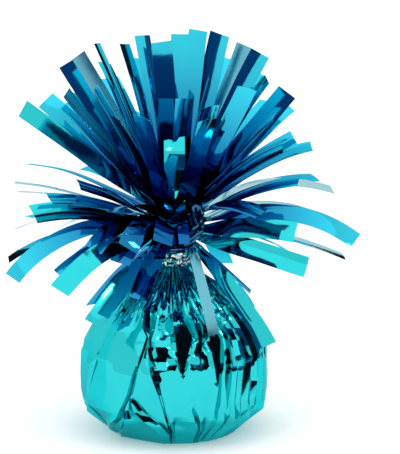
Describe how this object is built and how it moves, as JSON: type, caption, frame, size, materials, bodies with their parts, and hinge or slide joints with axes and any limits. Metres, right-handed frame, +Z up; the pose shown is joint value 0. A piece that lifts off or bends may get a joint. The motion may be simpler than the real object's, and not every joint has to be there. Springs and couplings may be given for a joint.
{
  "type": "balloon weight",
  "caption": "Weighted ballast tub wrapped in shiny teal metallised film, gathered and taped at the neck under a wide film fringe, with a plastic hook in the tuft that balloon ribbons tie to.",
  "frame": {"origin": "on the table plane, at the centre of the flat underside", "axes": "+Z up along the stem, -Y towards the viewer of the picture, +X to the viewer's right"},
  "size_m": [0.122, 0.1072, 0.1385],
  "materials": {
    "hook_plastic": "translucent natural-white injection-moulded plastic, glossy",
    "tub_plastic": "thin formed plastic tub, hidden inside the film",
    "cast_ballast": "cast cement, matt grey, hidden inside the film",
    "teal_film": "metallised polyester film, mirror-bright, teal lacquer on the front and silver behind",
    "clear_tape": "clear adhesive tape over the silver back of the film, crumpled and shiny"
  },
  "bodies": {
    "root": {"hook": "hook_plastic", "ballast_tub": "tub_plastic", "ballast": "cast_ballast", "foil_wrap": "teal_film", "neck_tape": "clear_tape", "neck_tie": "teal_film", "tie_knot": "teal_film", "tie_twist": "teal_film", "tie_end": "teal_film", "skirt_fringe": "teal_film", "lower_fringe": "teal_film", "side_fringe": "teal_film", "middle_fringe": "teal_film", "upper_fringe": "teal_film", "inner_fringe": "teal_film", "crown_fringe": "teal_film"}
  },
  "joints": []
}
